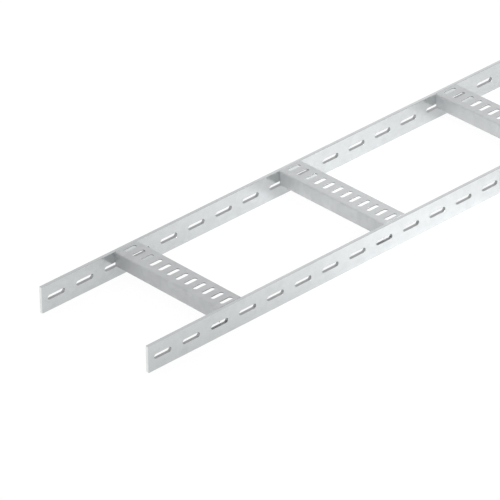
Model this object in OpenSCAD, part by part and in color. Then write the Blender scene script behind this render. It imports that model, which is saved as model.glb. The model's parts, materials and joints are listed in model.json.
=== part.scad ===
// Cable ladder section: two slotted flat-bar side rails, joined by slotted rungs folded from sheet.
// It lies on the bottom edges of its rails. X runs along the rails, Y runs across them and Z is up.
// The origin is halfway along and across the ladder, at the level of the rails' bottom edges.
// Each rung is an angle: a slotted top, level with the rails' top edges, and a flange at its front.

/* [Ladder] */
// Length of the section
ladder_length = 3000; // [900:300:6000]
// Clear width between the two side rails
clear_width = 200; // [100:10:600]
// Distance from one rung to the next
rung_spacing = 300; // [150:50:400]
// Distance from the start end to the front face of the first rung
first_rung_distance = 129; // [60:1:200]

/* [Side rail] */
// Height of the flat bar on edge
rail_height = 40; // [36:1:80]
// Thickness of the flat bar
rail_thickness = 5; // [3:0.5:8]
// Radius of the bar's long edges
rail_edge_radius = 0.8; // [0.2:0.1:1.4]

/* [Rail slots] */
// Distance from the middle of one slot to the middle of the next
rail_slot_pitch = 50; // [40:5:100]
// Length of a slot from end to end
rail_slot_length = 30; // [12:1:35]
// Height of a slot
rail_slot_height = 7; // [5:0.5:12]

/* [Rung] */
// Width of the rung's top, along the ladder
rung_top_width = 39; // [36:0.5:60]
// Depth of the rung's front flange, from its top face to its lower edge
rung_flange_depth = 22; // [12:1:30]
// Thickness of the rung's sheet
rung_sheet = 1.5; // [1:0.25:3]
// Inner radius of the fold
rung_fold_radius = 1; // [0.5:0.25:3]
// Drop from the rails' top edges to the rung's top face
rung_drop = 0; // [0:0.5:5]

/* [Rung slots] */
// Distance from the rung's front face to the middle line of its slots
rung_slot_setback = 20; // [18:0.5:22]
// Distance from the middle of one slot to the middle of the next
rung_slot_pitch = 16.75; // [12:0.25:30]
// Length of a slot from end to end, along the ladder
rung_slot_length = 21; // [12:1:26]
// Width of a slot
rung_slot_width = 6.6; // [3:0.1:9]
// Least width of plain metal between a rail and the nearest slot
rung_slot_margin = 4; // [2:0.5:10]

/* [Hidden] */
rung_count = 1 + floor((ladder_length - first_rung_distance - rung_top_width) / rung_spacing);
rail_slot_count = floor(ladder_length / rail_slot_pitch);
rung_slot_room = clear_width - rung_slot_width - 2 * rung_slot_margin;
rung_slot_count = 1 + floor(rung_slot_room / rung_slot_pitch);
start_x = -ladder_length / 2;
rung_top_z = rail_height - rung_drop;
fold_outer_radius = rung_fold_radius + rung_sheet;
cut_margin = 1;
round_facets = 48;
rail_color = [0.86, 0.87, 0.87];
rung_color = [0.76, 0.77, 0.77];

// The middle of copy i in a row of count copies that is centred on zero.
function row_place(i, count, pitch) = (i - (count - 1) / 2) * pitch;

// A slot with round ends, centred on the origin: length along X, width along Y, cut along Z.
module slot_cutter(length, width, depth) {
    straight = length - width;
    cube([straight, width, depth], center = true);
    for (side = [-1, 1])
        translate([side * straight / 2, 0, 0])
            cylinder(d = width, h = depth, center = true, $fn = round_facets);
}

// The flat bar's section, thickness along X and height along Y, with its four corners rounded.
module rail_section() {
    r = rail_edge_radius;
    translate([r, 0]) square([rail_thickness - 2 * r, rail_height]);
    translate([0, r]) square([rail_thickness, rail_height - 2 * r]);
    for (x = [r, rail_thickness - r], y = [r, rail_height - r])
        translate([x, y]) circle(r = r, $fn = round_facets);
}

// One side rail on edge, from the start end on, with its inner face at Y = 0 and its body at Y > 0.
module side_rail() {
    difference() {
        translate([start_x, 0, 0])
            rotate([90, 0, 90])
                linear_extrude(ladder_length) rail_section();
        for (i = [0 : rail_slot_count - 1])
            translate([row_place(i, rail_slot_count, rail_slot_pitch), rail_thickness / 2, rail_height / 2])
                rotate([90, 0, 0])
                    slot_cutter(rail_slot_length, rail_slot_height, rail_thickness + 2 * cut_margin);
    }
}

module near_rail() {
    color(rail_color) mirror([0, 1, 0]) translate([0, clear_width / 2, 0]) side_rail();
}

module far_rail() {
    color(rail_color) translate([0, clear_width / 2, 0]) side_rail();
}

// The rung's section, seen along the rung: X is the distance behind the front face, and Y is the
// height from the top face, so that the section lies below Y = 0.
module rung_section() {
    difference() {
        union() {
            translate([fold_outer_radius, -rung_sheet])
                square([rung_top_width - fold_outer_radius, rung_sheet]);
            translate([0, -rung_flange_depth])
                square([rung_sheet, rung_flange_depth - fold_outer_radius]);
            intersection() {
                translate([fold_outer_radius, -fold_outer_radius])
                    circle(r = fold_outer_radius, $fn = round_facets);
                translate([0, -fold_outer_radius])
                    square(fold_outer_radius);
            }
        }
        translate([fold_outer_radius, -fold_outer_radius])
            circle(r = rung_fold_radius, $fn = round_facets);
    }
}

// One rung in its place: the folded section runs from rail to rail, and slots cross its top.
module rung(index) {
    color(rung_color)
        translate([start_x + first_rung_distance + (index - 1) * rung_spacing, 0, rung_top_z])
            difference() {
                translate([0, clear_width / 2, 0])
                    rotate([90, 0, 0])
                        linear_extrude(clear_width) rung_section();
                for (i = [0 : rung_slot_count - 1])
                    translate([rung_slot_setback, row_place(i, rung_slot_count, rung_slot_pitch),
                               -rung_sheet / 2])
                        slot_cutter(rung_slot_length, rung_slot_width, rung_sheet + 2 * cut_margin);
            }
}

near_rail();
far_rail();
for (i = [1 : rung_count])
    rung(i);
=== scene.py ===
"""Looks of a cable ladder section.

Slotted side rails, folded and slotted rungs, weld beads, their finishes and a plain studio.
"""

import json
import logging
import math
from dataclasses import dataclass
from enum import Enum
from typing import Any

import bmesh
import bpy
from mathutils import Matrix, Vector


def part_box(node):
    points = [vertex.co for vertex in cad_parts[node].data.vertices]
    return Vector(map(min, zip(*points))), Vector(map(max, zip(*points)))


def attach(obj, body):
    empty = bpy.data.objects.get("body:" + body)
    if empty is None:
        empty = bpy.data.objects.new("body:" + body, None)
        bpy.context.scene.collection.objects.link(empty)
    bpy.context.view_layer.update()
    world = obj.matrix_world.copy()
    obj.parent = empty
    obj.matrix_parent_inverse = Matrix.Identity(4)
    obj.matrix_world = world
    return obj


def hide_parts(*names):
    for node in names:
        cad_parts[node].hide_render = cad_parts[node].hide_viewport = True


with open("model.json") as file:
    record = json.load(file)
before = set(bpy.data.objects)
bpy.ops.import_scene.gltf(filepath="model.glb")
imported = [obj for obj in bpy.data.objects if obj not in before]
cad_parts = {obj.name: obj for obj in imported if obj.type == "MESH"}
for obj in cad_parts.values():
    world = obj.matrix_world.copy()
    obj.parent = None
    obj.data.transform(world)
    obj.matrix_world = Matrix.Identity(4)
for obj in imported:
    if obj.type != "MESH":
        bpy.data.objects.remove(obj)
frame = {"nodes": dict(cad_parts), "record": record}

MM = 0.001
ROOT = "root"
SHARP_ANGLE = math.radians(50)
EDGE_STEPS = 3
FLAT_WEIGHT = 100
WALL_TILT = 0.6
log = logging.getLogger("cable_ladder")


class Side(Enum):
    """The two side rails."""

    NEAR = "near"
    FAR = "far"


class MetalSlot(Enum):
    """The record's material slots."""

    RAIL = "rail_steel"
    RUNG = "rung_steel"


# ---------------------------------------------------------------- small helpers


def linear(hex_code: str) -> tuple[float, float, float, float]:
    """Turns an sRGB hex colour into linear RGBA.

    Args:
        hex_code: six hex digits, such as "c4c6c7".

    Returns:
        The linear colour with an alpha of one.
    """
    parts = [int(hex_code[i : i + 2], 16) / 255 for i in (0, 2, 4)]
    r, g, b = (c / 12.92 if c <= 0.04045 else ((c + 0.055) / 1.055) ** 2.4 for c in parts)
    return (r, g, b, 1.0)


def add_node(
    tree: bpy.types.NodeTree,
    kind: str,
    settings: dict[str, Any] | None = None,
    inputs: dict[str | int, Any] | None = None,
) -> bpy.types.Node:
    """Adds one node to a tree, with its settings, values and links.

    Args:
        tree: the tree that gets the node.
        kind: the node's type name.
        settings: properties of the node itself.
        inputs: input sockets by name or number; a socket as value is linked, and a list of sockets
            is linked one after the other.

    Returns:
        The new node.
    """
    node = tree.nodes.new(kind)
    for name, value in (settings or {}).items():
        setattr(node, name, value)
    for key, value in (inputs or {}).items():
        socket = node.inputs[key]
        if isinstance(value, bpy.types.NodeSocket):
            tree.links.new(value, socket)
        elif isinstance(value, list) and isinstance(value[0], bpy.types.NodeSocket):
            for source in value:
                tree.links.new(source, socket)
        else:
            socket.default_value = value
    return node


def geometry_tree(name: str, sockets: dict[str, str]) -> tuple[bpy.types.NodeTree, bpy.types.Node]:
    """Starts a geometry node tree with a geometry input, named inputs and a geometry output.

    Args:
        name: the tree's name.
        sockets: input names with the last part of their socket types, such as "Float".

    Returns:
        The tree and its group input node.
    """
    tree = bpy.data.node_groups.new(name, "GeometryNodeTree")
    tree.interface.new_socket("Geometry", in_out="INPUT", socket_type="NodeSocketGeometry")
    for label, kind in sockets.items():
        tree.interface.new_socket(label, in_out="INPUT", socket_type="NodeSocket" + kind)
    tree.interface.new_socket("Geometry", in_out="OUTPUT", socket_type="NodeSocketGeometry")
    return tree, tree.nodes.new("NodeGroupInput")


def new_object(name: str, mesh: bpy.types.Mesh) -> bpy.types.Object:
    """Links a mesh to the scene as an object at the origin.

    Args:
        name: the object's name.
        mesh: its mesh.

    Returns:
        The new object.
    """
    piece = bpy.data.objects.new(name, mesh)
    bpy.context.scene.collection.objects.link(piece)
    return piece


def run_tree(
    mesh: bpy.types.Mesh, tree: bpy.types.NodeTree, values: dict[str, Any]
) -> bpy.types.Mesh:
    """Runs a geometry node tree on a mesh and returns the result as a plain mesh.

    Args:
        mesh: the tree's input geometry.
        tree: the node tree.
        values: the tree's inputs by their names.

    Returns:
        A new mesh with nothing live on it.
    """
    holder = new_object("tree_holder", mesh)
    modifier = holder.modifiers.new("tree", "NODES")
    modifier.node_group = tree
    for item in tree.interface.items_tree:
        if item.in_out == "INPUT" and item.name in values:
            modifier[item.identifier] = values[item.name]
    result = plain_mesh(holder)
    bpy.data.objects.remove(holder)
    return result


def plain_mesh(piece: bpy.types.Object) -> bpy.types.Mesh:
    """Works an object's modifiers into a plain mesh.

    Args:
        piece: the object, which keeps its own mesh.

    Returns:
        A new mesh with nothing live on it.
    """
    bpy.context.view_layer.update()
    graph = bpy.context.evaluated_depsgraph_get()
    return bpy.data.meshes.new_from_object(piece.evaluated_get(graph), depsgraph=graph)


def round_edges(piece: bpy.types.Object, width: float, by_weight: bool) -> None:
    """Rounds a piece's sharp edges, and lets its flats keep their own normals.

    The rounding keeps an even width. One that slides along the edges it meets folds over itself
    beside some of the slots.

    Args:
        piece: the object, whose mesh is replaced by the rounded one.
        width: the radius of an edge of full weight, in metres.
        by_weight: whether edge weights scale the radius; otherwise every sharp edge gets it.
    """
    bevel = piece.modifiers.new("edge_rounding", "BEVEL")
    bevel.width = width
    bevel.segments = EDGE_STEPS
    bevel.limit_method = "WEIGHT" if by_weight else "ANGLE"
    bevel.angle_limit = SHARP_ANGLE
    bevel.use_clamp_overlap = False
    bevel.loop_slide = False
    normals = piece.modifiers.new("flat_normals", "WEIGHTED_NORMAL")
    normals.mode = "FACE_AREA"
    normals.weight = FLAT_WEIGHT
    rounded = plain_mesh(piece)
    piece.modifiers.clear()
    piece.data = rounded


def shade_slot_walls(
    mesh: bpy.types.Mesh, low: Vector, high: Vector, across: int, material_index: int
) -> None:
    """Gives the punched walls of a plate's slots their own finish, whose darker grey is painted
    shade.

    A wall is a face in the box whose normal has only a small part through the plate's thickness.

    Args:
        mesh: the plate's mesh.
        low: lowest corner of the box that holds the slots and no other edge of the plate.
        high: highest corner of that box.
        across: the axis through the plate's thickness, 0 to 2.
        material_index: the finish's place among the mesh's materials.
    """
    for face in mesh.polygons:
        inside = all(low[i] < face.center[i] < high[i] for i in range(3))
        if inside and abs(face.normal[across]) < WALL_TILT:
            face.material_index = material_index


def settle(piece: bpy.types.Object, slot: MetalSlot, *nodes: str) -> None:
    """Rides a finished piece on the ladder's body, in place of its plain solids.

    Args:
        piece: the finished object.
        slot: the record's material slot; not used.
        nodes: the solids that it stands for.
    """
    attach(piece, ROOT)
    if nodes:
        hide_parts(*nodes)
    triangles = sum(len(p.vertices) - 2 for p in piece.data.polygons)
    stands_for = ", ".join(nodes) or "nothing"
    log.info("%s: %d triangles, stands for %s", piece.name, triangles, stands_for)


# ---------------------------------------------------------------- finishes


@dataclass(frozen=True)
class GalvanisedSteel:
    """Zinc-coated mild steel: a satin grey metal whose zinc has frozen in faint, soft-edged grains.

    The coat gives the eye an even light grey with blurred reflections. Its grains, about 9 mm
    across, only just change the grey and the gloss, and the coat's own unevenness is a slow,
    shallow waviness of a few hundredths of a millimetre.
    """

    name: str
    color: str
    roughness: float
    grain_mm: float = 9.0
    grain_contrast: float = 0.035
    wave_mm: float = 30.0
    wave_height_mm: float = 0.02
    speck_mm: float = 0.8
    speck_height_mm: float = 0.003
    darkest_mix: float = 0.35
    lightest_mix: float = 1.15
    gloss_change: float = 0.06

    def make(self) -> bpy.types.Material:
        """Builds the material.

        Returns:
            The finished material.
        """
        material = bpy.data.materials.new(self.name)
        material.use_nodes = True
        tree = material.node_tree
        tree.nodes.clear()
        place = add_node(tree, "ShaderNodeTexCoord").outputs["Object"]
        grains = add_node(
            tree, "ShaderNodeTexVoronoi", {"feature": "F1"},
            {"Vector": place, "Scale": 1 / (self.grain_mm * MM), "Randomness": 1.0},
        )
        tone = add_node(tree, "ShaderNodeSeparateColor", {}, {"Color": grains.outputs["Color"]})
        cloud = add_node(
            tree, "ShaderNodeTexNoise", {},
            {"Vector": place, "Scale": 1 / (self.wave_mm * MM), "Detail": 3.0, "Roughness": 0.5},
        )
        mixed = add_node(
            tree, "ShaderNodeMath", {"operation": "MULTIPLY_ADD"},
            {0: tone.outputs["Red"], 1: 0.5, 2: cloud.outputs["Fac"]},
        )
        low = [c * (1 - self.grain_contrast) for c in linear(self.color)[:3]] + [1.0]
        high = [min(1.0, c * (1 + self.grain_contrast)) for c in linear(self.color)[:3]] + [1.0]
        shade = add_node(
            tree, "ShaderNodeMapRange", {"clamp": True},
            {"Value": mixed.outputs[0], "From Min": self.darkest_mix,
             "From Max": self.lightest_mix},
        )
        color = add_node(
            tree, "ShaderNodeMix", {"data_type": "RGBA"},
            {0: shade.outputs["Result"], 6: low, 7: high},
        )
        gloss = add_node(
            tree, "ShaderNodeMapRange", {"clamp": True},
            {"Value": mixed.outputs[0], "From Min": self.darkest_mix,
             "From Max": self.lightest_mix, "To Min": self.roughness * (1 + self.gloss_change),
             "To Max": self.roughness * (1 - self.gloss_change)},
        )
        specks = add_node(
            tree, "ShaderNodeTexNoise", {},
            {"Vector": place, "Scale": 1 / (self.speck_mm * MM), "Detail": 2.0},
        )
        fine = add_node(
            tree, "ShaderNodeBump", {},
            {"Height": specks.outputs["Fac"], "Distance": self.speck_height_mm * MM,
             "Strength": 1.0},
        )
        waves = add_node(
            tree, "ShaderNodeBump", {},
            {"Height": cloud.outputs["Fac"], "Distance": self.wave_height_mm * MM,
             "Strength": 1.0, "Normal": fine.outputs["Normal"]},
        )
        shader = add_node(
            tree, "ShaderNodeBsdfPrincipled", {},
            {"Base Color": color.outputs[2], "Metallic": 1.0,
             "Roughness": gloss.outputs["Result"], "Normal": waves.outputs["Normal"]},
        )
        add_node(tree, "ShaderNodeOutputMaterial", {}, {"Surface": shader.outputs["BSDF"]})
        return material


# ---------------------------------------------------------------- the ladder's sizes


def mount_of(name: str) -> dict[str, Any]:
    """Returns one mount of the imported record."""
    return next(m for m in frame["record"]["mounts"] if m["name"] == name)


@dataclass(frozen=True)
class SlotRow:
    """A row of like slots with round ends, in metres."""

    along: float
    across: float
    pitch: float
    count: int
    offset: float


class SlottedPlate:
    """Flat plate with a row of slots, made by one geometry node tree that rails and rungs share."""

    ROUND_STEPS = 8
    ROUND_SHARE = 0.4999
    MERGE_REACH = 0.002 * MM
    OUTSIDE_REACH = 0.1 * MM
    RIM_WEIGHT = "bevel_weight_edge"

    def __init__(self) -> None:
        """Builds the tree once."""
        self.tree = self.build_tree()

    def build_tree(self) -> bpy.types.NodeTree:
        """Builds the node tree: outline and slots are filled, thickened, and get rim weights.

        Returns:
            The tree, with the plate lying flat, its row along X and its middle at the origin.
        """
        tree, given = geometry_tree(
            "slotted_plate",
            {
                "Length": "Float", "Width": "Float", "Thickness": "Float",
                "Slot Along": "Float", "Slot Across": "Float", "Slot Pitch": "Float",
                "Slot Count": "Int", "Slot Offset": "Float", "Rim Weight": "Float",
                "Material": "Material",
            },
        )
        size = given.outputs
        outline = add_node(
            tree, "GeometryNodeCurvePrimitiveQuadrilateral", {"mode": "RECTANGLE"},
            {"Width": size["Length"], "Height": size["Width"]},
        )
        outlines = add_node(
            tree, "GeometryNodeJoinGeometry", {},
            {"Geometry": [outline.outputs["Curve"], self.add_slot_row(tree, size)]},
        )
        plate = self.add_thickness(tree, size, outlines.outputs["Geometry"])
        weighted = self.add_rim_weights(tree, size, plate)
        real = add_node(tree, "GeometryNodeRealizeInstances", {}, {"Geometry": weighted})
        dressed = add_node(
            tree, "GeometryNodeSetMaterial", {},
            {"Geometry": real.outputs["Geometry"], "Material": size["Material"]},
        )
        add_node(tree, "NodeGroupOutput", {}, {"Geometry": dressed.outputs["Geometry"]})
        return tree

    def add_slot_row(self, tree: bpy.types.NodeTree, size: Any) -> bpy.types.NodeSocket:
        """Adds the nodes that draw the row of slots, which is centred along the plate.

        Args:
            tree: the plate's node tree.
            size: the tree's input sockets.

        Returns:
            The slots' outlines.
        """
        box = add_node(
            tree, "GeometryNodeCurvePrimitiveQuadrilateral", {"mode": "RECTANGLE"},
            {"Width": size["Slot Along"], "Height": size["Slot Across"]},
        )
        narrow = add_node(
            tree, "ShaderNodeMath", {"operation": "MINIMUM"},
            {0: size["Slot Along"], 1: size["Slot Across"]},
        )
        end_radius = add_node(
            tree, "ShaderNodeMath", {"operation": "MULTIPLY"},
            {0: narrow.outputs[0], 1: self.ROUND_SHARE},
        )
        slot = add_node(
            tree, "GeometryNodeFilletCurve", {"mode": "POLY"},
            {"Curve": box.outputs["Curve"], "Count": self.ROUND_STEPS,
             "Radius": end_radius.outputs[0], "Limit Radius": True},
        )
        steps = add_node(
            tree, "ShaderNodeMath", {"operation": "SUBTRACT"}, {0: size["Slot Count"], 1: 1.0}
        )
        run = add_node(
            tree, "ShaderNodeMath", {"operation": "MULTIPLY"},
            {0: steps.outputs[0], 1: size["Slot Pitch"]},
        )
        start_x = add_node(
            tree, "ShaderNodeMath", {"operation": "MULTIPLY"}, {0: run.outputs[0], 1: -0.5}
        )
        start = add_node(
            tree, "ShaderNodeCombineXYZ", {}, {"X": start_x.outputs[0], "Y": size["Slot Offset"]}
        )
        step = add_node(tree, "ShaderNodeCombineXYZ", {}, {"X": size["Slot Pitch"]})
        places = add_node(
            tree, "GeometryNodeMeshLine", {"mode": "OFFSET", "count_mode": "TOTAL"},
            {"Count": size["Slot Count"], "Start Location": start.outputs[0],
             "Offset": step.outputs[0]},
        )
        row = add_node(
            tree, "GeometryNodeInstanceOnPoints", {},
            {"Points": places.outputs["Mesh"], "Instance": slot.outputs["Curve"]},
        )
        real_row = add_node(
            tree, "GeometryNodeRealizeInstances", {}, {"Geometry": row.outputs["Instances"]}
        )
        return real_row.outputs["Geometry"]

    def add_thickness(
        self, tree: bpy.types.NodeTree, size: Any, outlines: bpy.types.NodeSocket
    ) -> bpy.types.NodeSocket:
        """Adds the nodes that fill the outlines and thicken them into a closed plate.

        Args:
            tree: the plate's node tree.
            size: the tree's input sockets.
            outlines: the outline of the plate and those of its slots.

        Returns:
            The plate, with its middle at the origin.
        """
        face = add_node(tree, "GeometryNodeFillCurve", {"mode": "NGONS"}, {"Curve": outlines})
        lift = add_node(tree, "ShaderNodeCombineXYZ", {}, {"Z": size["Thickness"]})
        wall = add_node(
            tree, "GeometryNodeExtrudeMesh", {"mode": "FACES"},
            {"Mesh": face.outputs["Mesh"], "Offset": lift.outputs[0], "Offset Scale": 1.0,
             "Individual": False},
        )
        under = add_node(tree, "GeometryNodeFlipFaces", {}, {"Mesh": face.outputs["Mesh"]})
        closed = add_node(
            tree, "GeometryNodeJoinGeometry", {},
            {"Geometry": [wall.outputs["Mesh"], under.outputs["Mesh"]]},
        )
        welded = add_node(
            tree, "GeometryNodeMergeByDistance", {},
            {"Geometry": closed.outputs["Geometry"], "Distance": self.MERGE_REACH},
        )
        half = add_node(
            tree, "ShaderNodeMath", {"operation": "MULTIPLY"}, {0: size["Thickness"], 1: -0.5}
        )
        sunk = add_node(tree, "ShaderNodeCombineXYZ", {}, {"Z": half.outputs[0]})
        centred = add_node(
            tree, "GeometryNodeTransform", {},
            {"Geometry": welded.outputs["Geometry"], "Translation": sunk.outputs[0]},
        )
        return centred.outputs["Geometry"]

    def add_rim_weights(
        self, tree: bpy.types.NodeTree, size: Any, plate: bpy.types.NodeSocket
    ) -> bpy.types.NodeSocket:
        """Adds the nodes that weigh each sharp edge for rounding: full outside, less at the slots.

        Args:
            tree: the plate's node tree.
            size: the tree's input sockets.
            plate: the finished plate.

        Returns:
            The plate with the weights stored on its edges.
        """
        angle = add_node(tree, "GeometryNodeInputMeshEdgeAngle")
        sharp = add_node(
            tree, "FunctionNodeCompare", {"data_type": "FLOAT", "operation": "GREATER_THAN"},
            {0: angle.outputs["Unsigned Angle"], 1: SHARP_ANGLE},
        )
        place = add_node(tree, "GeometryNodeInputPosition")
        parts = add_node(tree, "ShaderNodeSeparateXYZ", {}, {"Vector": place.outputs["Position"]})
        outside = []
        for axis, extent in (("X", "Length"), ("Y", "Width")):
            away = add_node(
                tree, "ShaderNodeMath", {"operation": "ABSOLUTE"}, {0: parts.outputs[axis]}
            )
            twice = add_node(
                tree, "ShaderNodeMath", {"operation": "MULTIPLY"}, {0: away.outputs[0], 1: 2.0}
            )
            gap = add_node(
                tree, "ShaderNodeMath", {"operation": "SUBTRACT"},
                {0: size[extent], 1: twice.outputs[0]},
            )
            near = add_node(
                tree, "ShaderNodeMath", {"operation": "LESS_THAN"},
                {0: gap.outputs[0], 1: self.OUTSIDE_REACH},
            )
            outside.append(near.outputs[0])
        either = add_node(
            tree, "ShaderNodeMath", {"operation": "MAXIMUM"}, {0: outside[0], 1: outside[1]}
        )
        weight = add_node(
            tree, "ShaderNodeMix", {"data_type": "FLOAT"},
            {0: either.outputs[0], 2: size["Rim Weight"], 3: 1.0},
        )
        only_sharp = add_node(
            tree, "ShaderNodeMath", {"operation": "MULTIPLY"},
            {0: sharp.outputs["Result"], 1: weight.outputs[0]},
        )
        stored = add_node(
            tree, "GeometryNodeStoreNamedAttribute", {"data_type": "FLOAT", "domain": "EDGE"},
            {"Geometry": plate, "Name": self.RIM_WEIGHT, "Value": only_sharp.outputs[0]},
        )
        return stored.outputs["Geometry"]

    def make(
        self,
        length: float,
        width: float,
        thickness: float,
        slots: SlotRow,
        rim_weight: float,
        material: bpy.types.Material,
    ) -> bpy.types.Mesh:
        """Makes one plate.

        Args:
            length: size along the row, in metres.
            width: size across the row, in metres.
            thickness: the plate's thickness, in metres.
            slots: the row of slots.
            rim_weight: share of the outer edges' rounding that the slots' rims get.
            material: the plate's finish.

        Returns:
            The plate's mesh, lying flat with its middle at the origin.
        """
        values = {
            "Length": length, "Width": width, "Thickness": thickness,
            "Slot Along": slots.along, "Slot Across": slots.across, "Slot Pitch": slots.pitch,
            "Slot Count": slots.count, "Slot Offset": slots.offset, "Rim Weight": rim_weight,
            "Material": material,
        }
        return run_tree(bpy.data.meshes.new("plate"), self.tree, values)


# ---------------------------------------------------------------- side rails


@dataclass
class SideRail:
    """One side rail: a flat bar on edge, with punched slots, rolled edges and sawn ends."""

    side: Side
    plates: SlottedPlate
    finish: bpy.types.Material
    end_light_finish: bpy.types.Material
    wall_shade_finish: bpy.types.Material
    edge_room: float = 5.0 * MM
    edge_radius: float = 0.8 * MM
    rim_radius: float = 0.3 * MM
    end_reach: float = 0.05 * MM
    end_tilt: float = 0.99

    @property
    def node(self) -> str:
        """Name of the rail's solid."""
        return f"{self.side.value}_rail"

    def build(self) -> bpy.types.Object:
        """Builds the rail in its place.

        Returns:
            The finished rail.
        """
        low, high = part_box(self.node)
        mount = mount_of(f"{self.node}_start_slots")
        dims = mount["dims"]
        pitch = dims["spacing_x_mm"] * MM
        count = round((high.x - low.x) / pitch)
        slots = SlotRow(dims["slot_length_mm"] * MM, 2 * dims["hole_r_mm"] * MM, pitch, count, 0.0)
        mesh = self.plates.make(
            high.x - low.x, high.z - low.z, high.y - low.y, slots,
            self.rim_radius / self.edge_radius, self.finish,
        )
        mesh.transform(Matrix.Translation((low + high) / 2) @ Matrix.Rotation(math.pi / 2, 4, "X"))
        mesh.shade_smooth()
        piece = new_object(f"{self.node}_bar", mesh)
        round_edges(piece, self.edge_radius, by_weight=True)
        self.dress_ends(piece.data, low.x, high.x)
        # The slot walls get a darker grey: painted shade in the slots.
        piece.data.materials.append(self.wall_shade_finish)
        # The box stays clear of the bar's edges and reaches past both of its faces.
        room = Vector((self.edge_room, -MM, self.edge_room))
        shade_slot_walls(piece.data, low + room, high - room, 1, 2)
        return piece

    def dress_ends(self, mesh: bpy.types.Mesh, start: float, end: float) -> None:
        """Gives the sawn end faces their own finish, whose lighter grey is painted light.

        Args:
            mesh: the rail's mesh.
            start: the start end's place along the ladder.
            end: the other end's place.
        """
        mesh.materials.clear()
        mesh.materials.append(self.finish)
        mesh.materials.append(self.end_light_finish)
        for face in mesh.polygons:
            away = min(abs(face.center.x - start), abs(face.center.x - end))
            sawn = away < self.end_reach and abs(face.normal.x) > self.end_tilt
            face.material_index = 1 if sawn else 0


# ---------------------------------------------------------------- rungs


@dataclass
class Rung:
    """One rung: a strip of sheet with a row of slots, folded down along its front edge."""

    number: int
    plates: SlottedPlate
    finish: bpy.types.Material
    wall_shade_finish: bpy.types.Material
    edge_room: float = 1.0 * MM
    sheet: float = 1.5 * MM
    fold_radius: float = 1.0 * MM
    edge_radius: float = 0.2 * MM
    fold_steps: int = 8
    face_reach: float = 0.01 * MM
    merge_reach: float = 0.005 * MM
    pitches_between_mounts: int = 5

    @property
    def node(self) -> str:
        """Name of the rung's solid."""
        return f"rung_{self.number}"

    @property
    def outer_radius(self) -> float:
        """Outer radius of the fold."""
        return self.fold_radius + self.sheet

    def build(self) -> bpy.types.Object:
        """Builds the rung in its place.

        Returns:
            The finished rung.
        """
        low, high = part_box(self.node)
        mesh = self.make_top(low, high)
        body = bmesh.new()
        body.from_mesh(mesh)
        fold_x = low.x + self.outer_radius
        # The flat's front wall gives way to the fold.
        front = [
            f for f in body.faces
            if all(abs(v.co.x - fold_x) < self.face_reach for v in f.verts)
        ]
        bmesh.ops.delete(body, geom=front, context="FACES_ONLY")
        self.add_flange(body, low, high)
        bmesh.ops.remove_doubles(body, verts=body.verts, dist=self.merge_reach)
        bmesh.ops.recalc_face_normals(body, faces=body.faces)
        for face in body.faces:
            face.material_index = 0
        body.to_mesh(mesh)
        body.free()
        mesh.materials.clear()
        mesh.materials.append(self.finish)
        mesh.shade_smooth()
        piece = new_object(f"{self.node}_sheet", mesh)
        round_edges(piece, self.edge_radius, by_weight=False)
        # The slot walls get a darker grey: painted shade in the slots.
        piece.data.materials.append(self.wall_shade_finish)
        room = Vector((self.edge_room, self.edge_room, 0))
        slots_low = Vector((fold_x, low.y, high.z - self.sheet)) + room
        shade_slot_walls(piece.data, slots_low, high - room, 2, 1)
        return piece

    def make_top(self, low: Vector, high: Vector) -> bpy.types.Mesh:
        """Makes the slotted flat behind the fold.

        Args:
            low: lowest corner of the rung's solid.
            high: highest corner.

        Returns:
            The flat's mesh in its place.
        """
        mount = mount_of("rung_fixing_slots")
        dims = mount["dims"]
        pitch = dims["spacing_y_mm"] * MM / self.pitches_between_mounts
        slot_width = 2 * dims["hole_r_mm"] * MM
        first = mount["pos_m"][0] - dims["spacing_x_mm"] * MM / 2
        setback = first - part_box("rung_1")[0].x
        count = 1 + math.floor((high.y - low.y - slot_width) / pitch)
        flat_low = low.x + self.outer_radius
        middle = Vector(((flat_low + high.x) / 2, (low.y + high.y) / 2, high.z - self.sheet / 2))
        offset = middle.x - (low.x + setback)
        slots = SlotRow(slot_width, dims["slot_length_mm"] * MM, pitch, count, offset)
        mesh = self.plates.make(
            high.y - low.y, high.x - flat_low, self.sheet, slots, 1.0, self.finish
        )
        mesh.transform(Matrix.Translation(middle) @ Matrix.Rotation(math.pi / 2, 4, "Z"))
        return mesh

    def add_flange(self, body: bmesh.types.BMesh, low: Vector, high: Vector) -> None:
        """Adds the fold and the flange, as a section swept from rail to rail.

        Args:
            body: the rung's mesh, open along the fold.
            low: lowest corner of the rung's solid.
            high: highest corner.
        """
        centre = Vector((low.x + self.outer_radius, 0, high.z - self.outer_radius))
        turns = [math.pi / 2 * (1 + i / self.fold_steps) for i in range(self.fold_steps + 1)]
        outer, inner = (
            [(centre.x + radius * math.cos(t), centre.z + radius * math.sin(t)) for t in turns]
            for radius in (self.outer_radius, self.fold_radius)
        )
        section = [*outer, (low.x, low.z), (low.x + self.sheet, low.z), *reversed(inner)]
        rings = [[body.verts.new((x, y, z)) for x, z in section] for y in (low.y, high.y)]
        for i in range(len(section) - 1):
            body.faces.new((rings[0][i], rings[0][i + 1], rings[1][i + 1], rings[1][i]))
        for ring in rings:
            body.faces.new(ring)


# ---------------------------------------------------------------- welds


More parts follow.
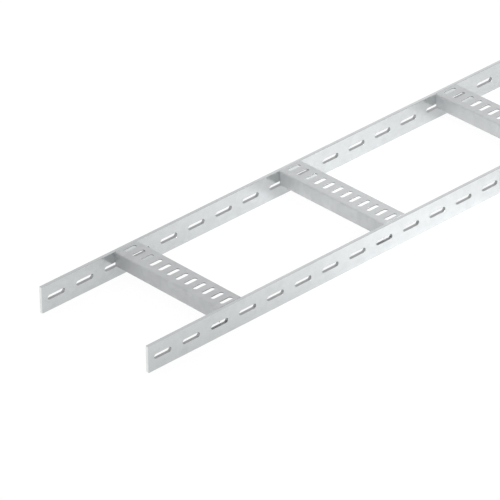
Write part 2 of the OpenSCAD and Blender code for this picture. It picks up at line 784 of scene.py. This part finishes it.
@dataclass
class WeldSeams:
    """The short weld beads behind each rung's flange and under its top, at the rails."""

    finish: bpy.types.Material
    rungs: list[str]
    sheet: float = 1.5 * MM
    bead_radius: float = 1.5 * MM
    bead_sides: int = 10
    ripple_mm: float = 1.6
    ripple_depth: float = 0.16
    ripple_steps: int = 4
    least_swell: float = 0.9
    most_swell: float = 1.1
    taper_steepness: float = 8.0
    taper_depth: float = 0.75
    sink: float = 0.4
    stitch: float = 4.0 * MM
    edge_gap: float = 1.2 * MM
    seed: int = 11

    def build(self) -> bpy.types.Object:
        """Builds all the beads as one piece.

        Returns:
            The finished beads.
        """
        paths = bmesh.new()
        for node in self.rungs:
            low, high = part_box(node)
            for y, inward in ((low.y, 1), (high.y, -1)):
                self.add_paths(paths, low, high, y + inward * self.bead_radius * self.sink)
        mesh = bpy.data.meshes.new("bead_paths")
        paths.to_mesh(mesh)
        paths.free()
        values = {
            "Bead Radius": self.bead_radius, "Ripple Spacing": self.ripple_mm * MM,
            "Ripple Depth": self.ripple_depth, "Seed": self.seed, "Material": self.finish,
        }
        beads = run_tree(mesh, self.build_tree(), values)
        beads.shade_smooth()
        return new_object("weld_beads", beads)

    def add_paths(self, paths: bmesh.types.BMesh, low: Vector, high: Vector, y: float) -> None:
        """Adds the beads' middle lines at one end of a rung.

        Args:
            paths: the mesh that collects the lines.
            low: lowest corner of the rung's solid.
            high: highest corner.
            y: place of the beads across the ladder.
        """
        behind = low.x + self.sheet + self.bead_radius * self.sink
        under = high.z - self.sheet - self.bead_radius * self.sink
        foot = low.z + self.edge_gap + self.bead_radius
        back = high.x - self.edge_gap - self.bead_radius
        lines = [
            ((behind, y, foot), (behind, y, under - self.bead_radius)),
            ((back - self.stitch, y, under), (back, y, under)),
        ]
        for start, end in lines:
            paths.edges.new((paths.verts.new(start), paths.verts.new(end)))

    def build_tree(self) -> bpy.types.NodeTree:
        """Builds the tree that lays a rippled bead along each line.

        Returns:
            The node tree.
        """
        tree, given = geometry_tree(
            "weld_bead",
            {"Bead Radius": "Float", "Ripple Spacing": "Float", "Ripple Depth": "Float",
             "Seed": "Int", "Material": "Material"},
        )
        size = given.outputs
        lines = add_node(tree, "GeometryNodeMeshToCurve", {}, {"Mesh": size["Geometry"]})
        step = add_node(
            tree, "ShaderNodeMath", {"operation": "DIVIDE"},
            {0: size["Ripple Spacing"], 1: self.ripple_steps},
        )
        even = add_node(
            tree, "GeometryNodeResampleCurve", {"mode": "LENGTH"},
            {"Curve": lines.outputs["Curve"], "Length": step.outputs[0]},
        )
        profile = add_node(
            tree, "GeometryNodeCurvePrimitiveCircle", {"mode": "RADIUS"},
            {"Resolution": self.bead_sides, "Radius": size["Bead Radius"]},
        )
        bead = add_node(
            tree, "GeometryNodeCurveToMesh", {},
            {"Curve": even.outputs["Curve"], "Profile Curve": profile.outputs["Curve"],
             "Scale": self.add_swell(tree, size), "Fill Caps": True},
        )
        real = add_node(
            tree, "GeometryNodeRealizeInstances", {}, {"Geometry": bead.outputs["Mesh"]}
        )
        dressed = add_node(
            tree, "GeometryNodeSetMaterial", {},
            {"Geometry": real.outputs["Geometry"], "Material": size["Material"]},
        )
        add_node(tree, "NodeGroupOutput", {}, {"Geometry": dressed.outputs["Geometry"]})
        return tree

    def add_swell(self, tree: bpy.types.NodeTree, size: Any) -> bpy.types.NodeSocket:
        """Adds the nodes that ripple a bead along its line and draw it in at both ends.

        Args:
            tree: the bead's node tree.
            size: the tree's input sockets.

        Returns:
            The radius along the bead, as a share of the full one.
        """
        along = add_node(tree, "GeometryNodeSplineParameter")
        turns = add_node(
            tree, "ShaderNodeMath", {"operation": "DIVIDE"},
            {0: along.outputs["Length"], 1: size["Ripple Spacing"]},
        )
        phase = add_node(
            tree, "ShaderNodeMath", {"operation": "MULTIPLY"}, {0: turns.outputs[0], 1: math.pi}
        )
        wave = add_node(tree, "ShaderNodeMath", {"operation": "SINE"}, {0: phase.outputs[0]})
        crest = add_node(tree, "ShaderNodeMath", {"operation": "ABSOLUTE"}, {0: wave.outputs[0]})
        chance = add_node(
            tree, "FunctionNodeRandomValue", {"data_type": "FLOAT"},
            {"Min": self.least_swell, "Max": self.most_swell, "Seed": size["Seed"]},
        )
        ripple = add_node(
            tree, "ShaderNodeMath", {"operation": "MULTIPLY"},
            {0: crest.outputs[0], 1: size["Ripple Depth"]},
        )
        taper = self.add_taper(tree, along.outputs["Factor"])
        swell = add_node(
            tree, "ShaderNodeMath", {"operation": "SUBTRACT"},
            {0: chance.outputs[1], 1: ripple.outputs[0]},
        )
        thick = add_node(
            tree, "ShaderNodeMath", {"operation": "MULTIPLY"}, {0: swell.outputs[0], 1: taper}
        )
        return thick.outputs[0]

    def add_taper(
        self, tree: bpy.types.NodeTree, factor: bpy.types.NodeSocket
    ) -> bpy.types.NodeSocket:
        """Adds the nodes that draw a bead in at both ends.

        Args:
            tree: the bead's node tree.
            factor: place along the bead, from zero to one.

        Returns:
            A share of the bead's radius.
        """
        centred = add_node(
            tree, "ShaderNodeMath", {"operation": "MULTIPLY_ADD"}, {0: factor, 1: 2.0, 2: -1.0}
        )
        away = add_node(tree, "ShaderNodeMath", {"operation": "ABSOLUTE"}, {0: centred.outputs[0]})
        steep = add_node(
            tree, "ShaderNodeMath", {"operation": "POWER"},
            {0: away.outputs[0], 1: self.taper_steepness},
        )
        left = add_node(
            tree, "ShaderNodeMath", {"operation": "MULTIPLY_ADD"},
            {0: steep.outputs[0], 1: -self.taper_depth, 2: 1.0},
        )
        return left.outputs[0]


# ---------------------------------------------------------------- studio


@dataclass(frozen=True)
class StudioCamera:
    """A long lens that looks down along the ladder from its start end."""

    azimuth: float = 42.994
    elevation: float = 30.971
    roll: float = 1.022
    distance: float = 6.8815
    lens_mm: float = 374.47
    far_clip: float = 200.0
    target: tuple[float, float, float] = (-1.21961, 0.00173, 0.020)

    def place(self) -> None:
        """Makes the camera and hands it to the scene."""
        turn, tilt, roll = (math.radians(v) for v in (self.azimuth, self.elevation, self.roll))
        ahead = Vector((
            math.sin(turn) * math.cos(tilt), math.cos(turn) * math.cos(tilt), -math.sin(tilt)
        ))
        level = Vector((math.cos(turn), -math.sin(turn), 0))
        down = ahead.cross(level)
        right = level * math.cos(roll) + down * math.sin(roll)
        up = level * math.sin(roll) - down * math.cos(roll)
        data = bpy.data.cameras.new("camera")
        data.lens = self.lens_mm
        data.clip_end = self.far_clip
        camera = bpy.data.objects.new("camera", data)
        place = Matrix((right, up, -ahead)).transposed().to_4x4()
        place.translation = Vector(self.target) - ahead * self.distance
        camera.matrix_world = place
        bpy.context.scene.collection.objects.link(camera)
        bpy.context.scene.camera = camera


@dataclass(frozen=True)
class Softbox:
    """A rectangular soft lamp that looks at a point."""

    name: str
    place: tuple[float, float, float]
    aim: tuple[float, float, float]
    size: tuple[float, float]
    power: float
    spread: float

    def hang(self) -> None:
        """Makes the lamp."""
        data = bpy.data.lights.new(self.name, "AREA")
        data.shape = "RECTANGLE"
        data.size, data.size_y = self.size
        data.energy = self.power
        data.spread = math.radians(self.spread)
        lamp = bpy.data.objects.new(self.name, data)
        lamp.location = self.place
        lamp.rotation_mode = "QUATERNION"
        lamp.rotation_quaternion = (Vector(self.aim) - Vector(self.place)).to_track_quat("-Z", "Y")
        lamp.visible_camera = False
        bpy.context.scene.collection.objects.link(lamp)


@dataclass(frozen=True)
class Studio:
    """Plain white studio: a pale floor, an even sky and soft lamps."""

    sky: float = 0.91
    floor_half: float = 40.0
    floor_drop: float = 0.1 * MM
    floor_color: str = "f2f2f2"
    seen_glow: float = 0.93
    seen_share: float = 0.10
    mirrored_glow: float = 0.58
    mirrored_share: float = 0.60
    lamps: tuple[Softbox, ...] = ()

    def build(self) -> None:
        """Builds the sky, the floor and the lamps."""
        self.light_sky()
        self.lay_floor()
        for lamp in self.lamps:
            lamp.hang()
        bpy.context.scene.view_settings.view_transform = "Standard"

    def light_sky(self) -> None:
        """Lights the world evenly; the camera sees it as plain white."""
        world = bpy.data.worlds.new("studio")
        bpy.context.scene.world = world
        world.use_nodes = True
        tree = world.node_tree
        tree.nodes.clear()
        path = add_node(tree, "ShaderNodeLightPath")
        even = add_node(
            tree, "ShaderNodeBackground", {}, {"Color": (1, 1, 1, 1), "Strength": self.sky}
        )
        white = add_node(tree, "ShaderNodeBackground", {}, {"Color": (1, 1, 1, 1), "Strength": 1.0})
        seen = add_node(
            tree, "ShaderNodeMixShader", {},
            {0: path.outputs["Is Camera Ray"], 1: even.outputs[0], 2: white.outputs[0]},
        )
        add_node(tree, "ShaderNodeOutputWorld", {}, {"Surface": seen.outputs[0]})

    def add_glowing_look(
        self, tree: bpy.types.NodeTree, glow: float, share: float
    ) -> bpy.types.NodeSocket:
        """Adds a floor that glows evenly and still keeps part of its lit colour and shadow.

        Args:
            tree: the floor material's node tree.
            glow: strength of the glow, where one is white.
            share: share of the floor's colour that the lamps and the sky light.

        Returns:
            The look's shader.
        """
        dim = [c * share for c in linear(self.floor_color)[:3]] + [1.0]
        lit = add_node(tree, "ShaderNodeBsdfDiffuse", {}, {"Color": dim})
        even = add_node(tree, "ShaderNodeEmission", {}, {"Color": (1, 1, 1, 1), "Strength": glow})
        both = add_node(tree, "ShaderNodeAddShader", {}, {0: lit.outputs[0], 1: even.outputs[0]})
        return both.outputs[0]

    def lay_floor(self) -> None:
        """Lays the pale floor, which glows for what looks at it so that it reads as plain white."""
        material = bpy.data.materials.new("pale_floor")
        material.use_nodes = True
        tree = material.node_tree
        tree.nodes.clear()
        path = add_node(tree, "ShaderNodeLightPath")
        mirrored = add_node(
            tree, "ShaderNodeMath", {"operation": "MAXIMUM"},
            {0: path.outputs["Is Glossy Ray"], 1: path.outputs["Is Transmission Ray"]},
        )
        surface = add_node(tree, "ShaderNodeBsdfDiffuse", {}, {"Color": linear(self.floor_color)})
        for ray, glow, share in (
            (mirrored.outputs[0], self.mirrored_glow, self.mirrored_share),
            (path.outputs["Is Camera Ray"], self.seen_glow, self.seen_share),
        ):
            look = self.add_glowing_look(tree, glow, share)
            surface = add_node(
                tree, "ShaderNodeMixShader", {}, {0: ray, 1: surface.outputs[0], 2: look}
            )
        add_node(tree, "ShaderNodeOutputMaterial", {}, {"Surface": surface.outputs[0]})
        mesh = bpy.data.meshes.new("floor")
        reach = self.floor_half
        corners = [(-reach, -reach), (reach, -reach), (reach, reach), (-reach, reach)]
        mesh.from_pydata([(x, y, -self.floor_drop) for x, y in corners], [], [(0, 1, 2, 3)])
        mesh.materials.append(material)
        new_object("floor", mesh)


# ---------------------------------------------------------------- assembly


def main() -> None:
    """Builds the ladder's pieces in order, then the studio."""
    logging.basicConfig(level=logging.INFO, format="%(name)s: %(message)s")
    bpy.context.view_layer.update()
    StudioCamera().place()

    rail_zinc = GalvanisedSteel("galvanised_flat_bar", color="c5c8c9", roughness=0.21).make()
    rung_zinc = GalvanisedSteel("galvanised_sheet", color="c7c9ca", roughness=0.62).make()
    # Sawn ends: the lighter grey is painted light on the end faces.
    end_lit_zinc = GalvanisedSteel("galvanised_sawn_end_painted_light", color="e7e8e8", roughness=0.45).make()
    # Slot walls: the darker grey is painted shade in the slots.
    slot_wall_shade_zinc = GalvanisedSteel("galvanised_punched_wall_painted_shade", color="a4a6a7", roughness=0.40).make()
    plates = SlottedPlate()

    for side in Side:
        rail = SideRail(side, plates, rail_zinc, end_lit_zinc, slot_wall_shade_zinc)
        settle(rail.build(), MetalSlot.RAIL, rail.node)
    rung_nodes = [n for n in frame["nodes"] if n.startswith("rung_")]
    for number in range(1, len(rung_nodes) + 1):
        rung = Rung(number, plates, rung_zinc, slot_wall_shade_zinc)
        settle(rung.build(), MetalSlot.RUNG, rung.node)
    settle(WeldSeams(rung_zinc, rung_nodes).build(), MetalSlot.RUNG)

    Studio(
        lamps=(
            Softbox(
                "near_pool", place=(-0.96, -1.10, 0.60), aim=(-1.00, -0.10, 0.0),
                size=(0.25, 0.25), power=0.74, spread=33.0,
            ),
            Softbox(
                "far_pool", place=(-0.75, -1.00, 0.80), aim=(-0.86, 0.10, 0.0),
                size=(0.30, 0.30), power=0.18, spread=30.0,
            ),
            Softbox(
                "far_end_pool", place=(-0.50, -1.00, 0.80), aim=(-0.60, 0.14, 0.0),
                size=(0.30, 0.30), power=0.12, spread=28.0,
            ),
            Softbox(
                "back_fill", place=(-0.10, 0.80, 0.70), aim=(-0.90, 0.00, 0.02),
                size=(0.60, 0.60), power=0.09, spread=120.0,
            ),
        ),
    ).build()


if __name__ == "__main__":
    main()
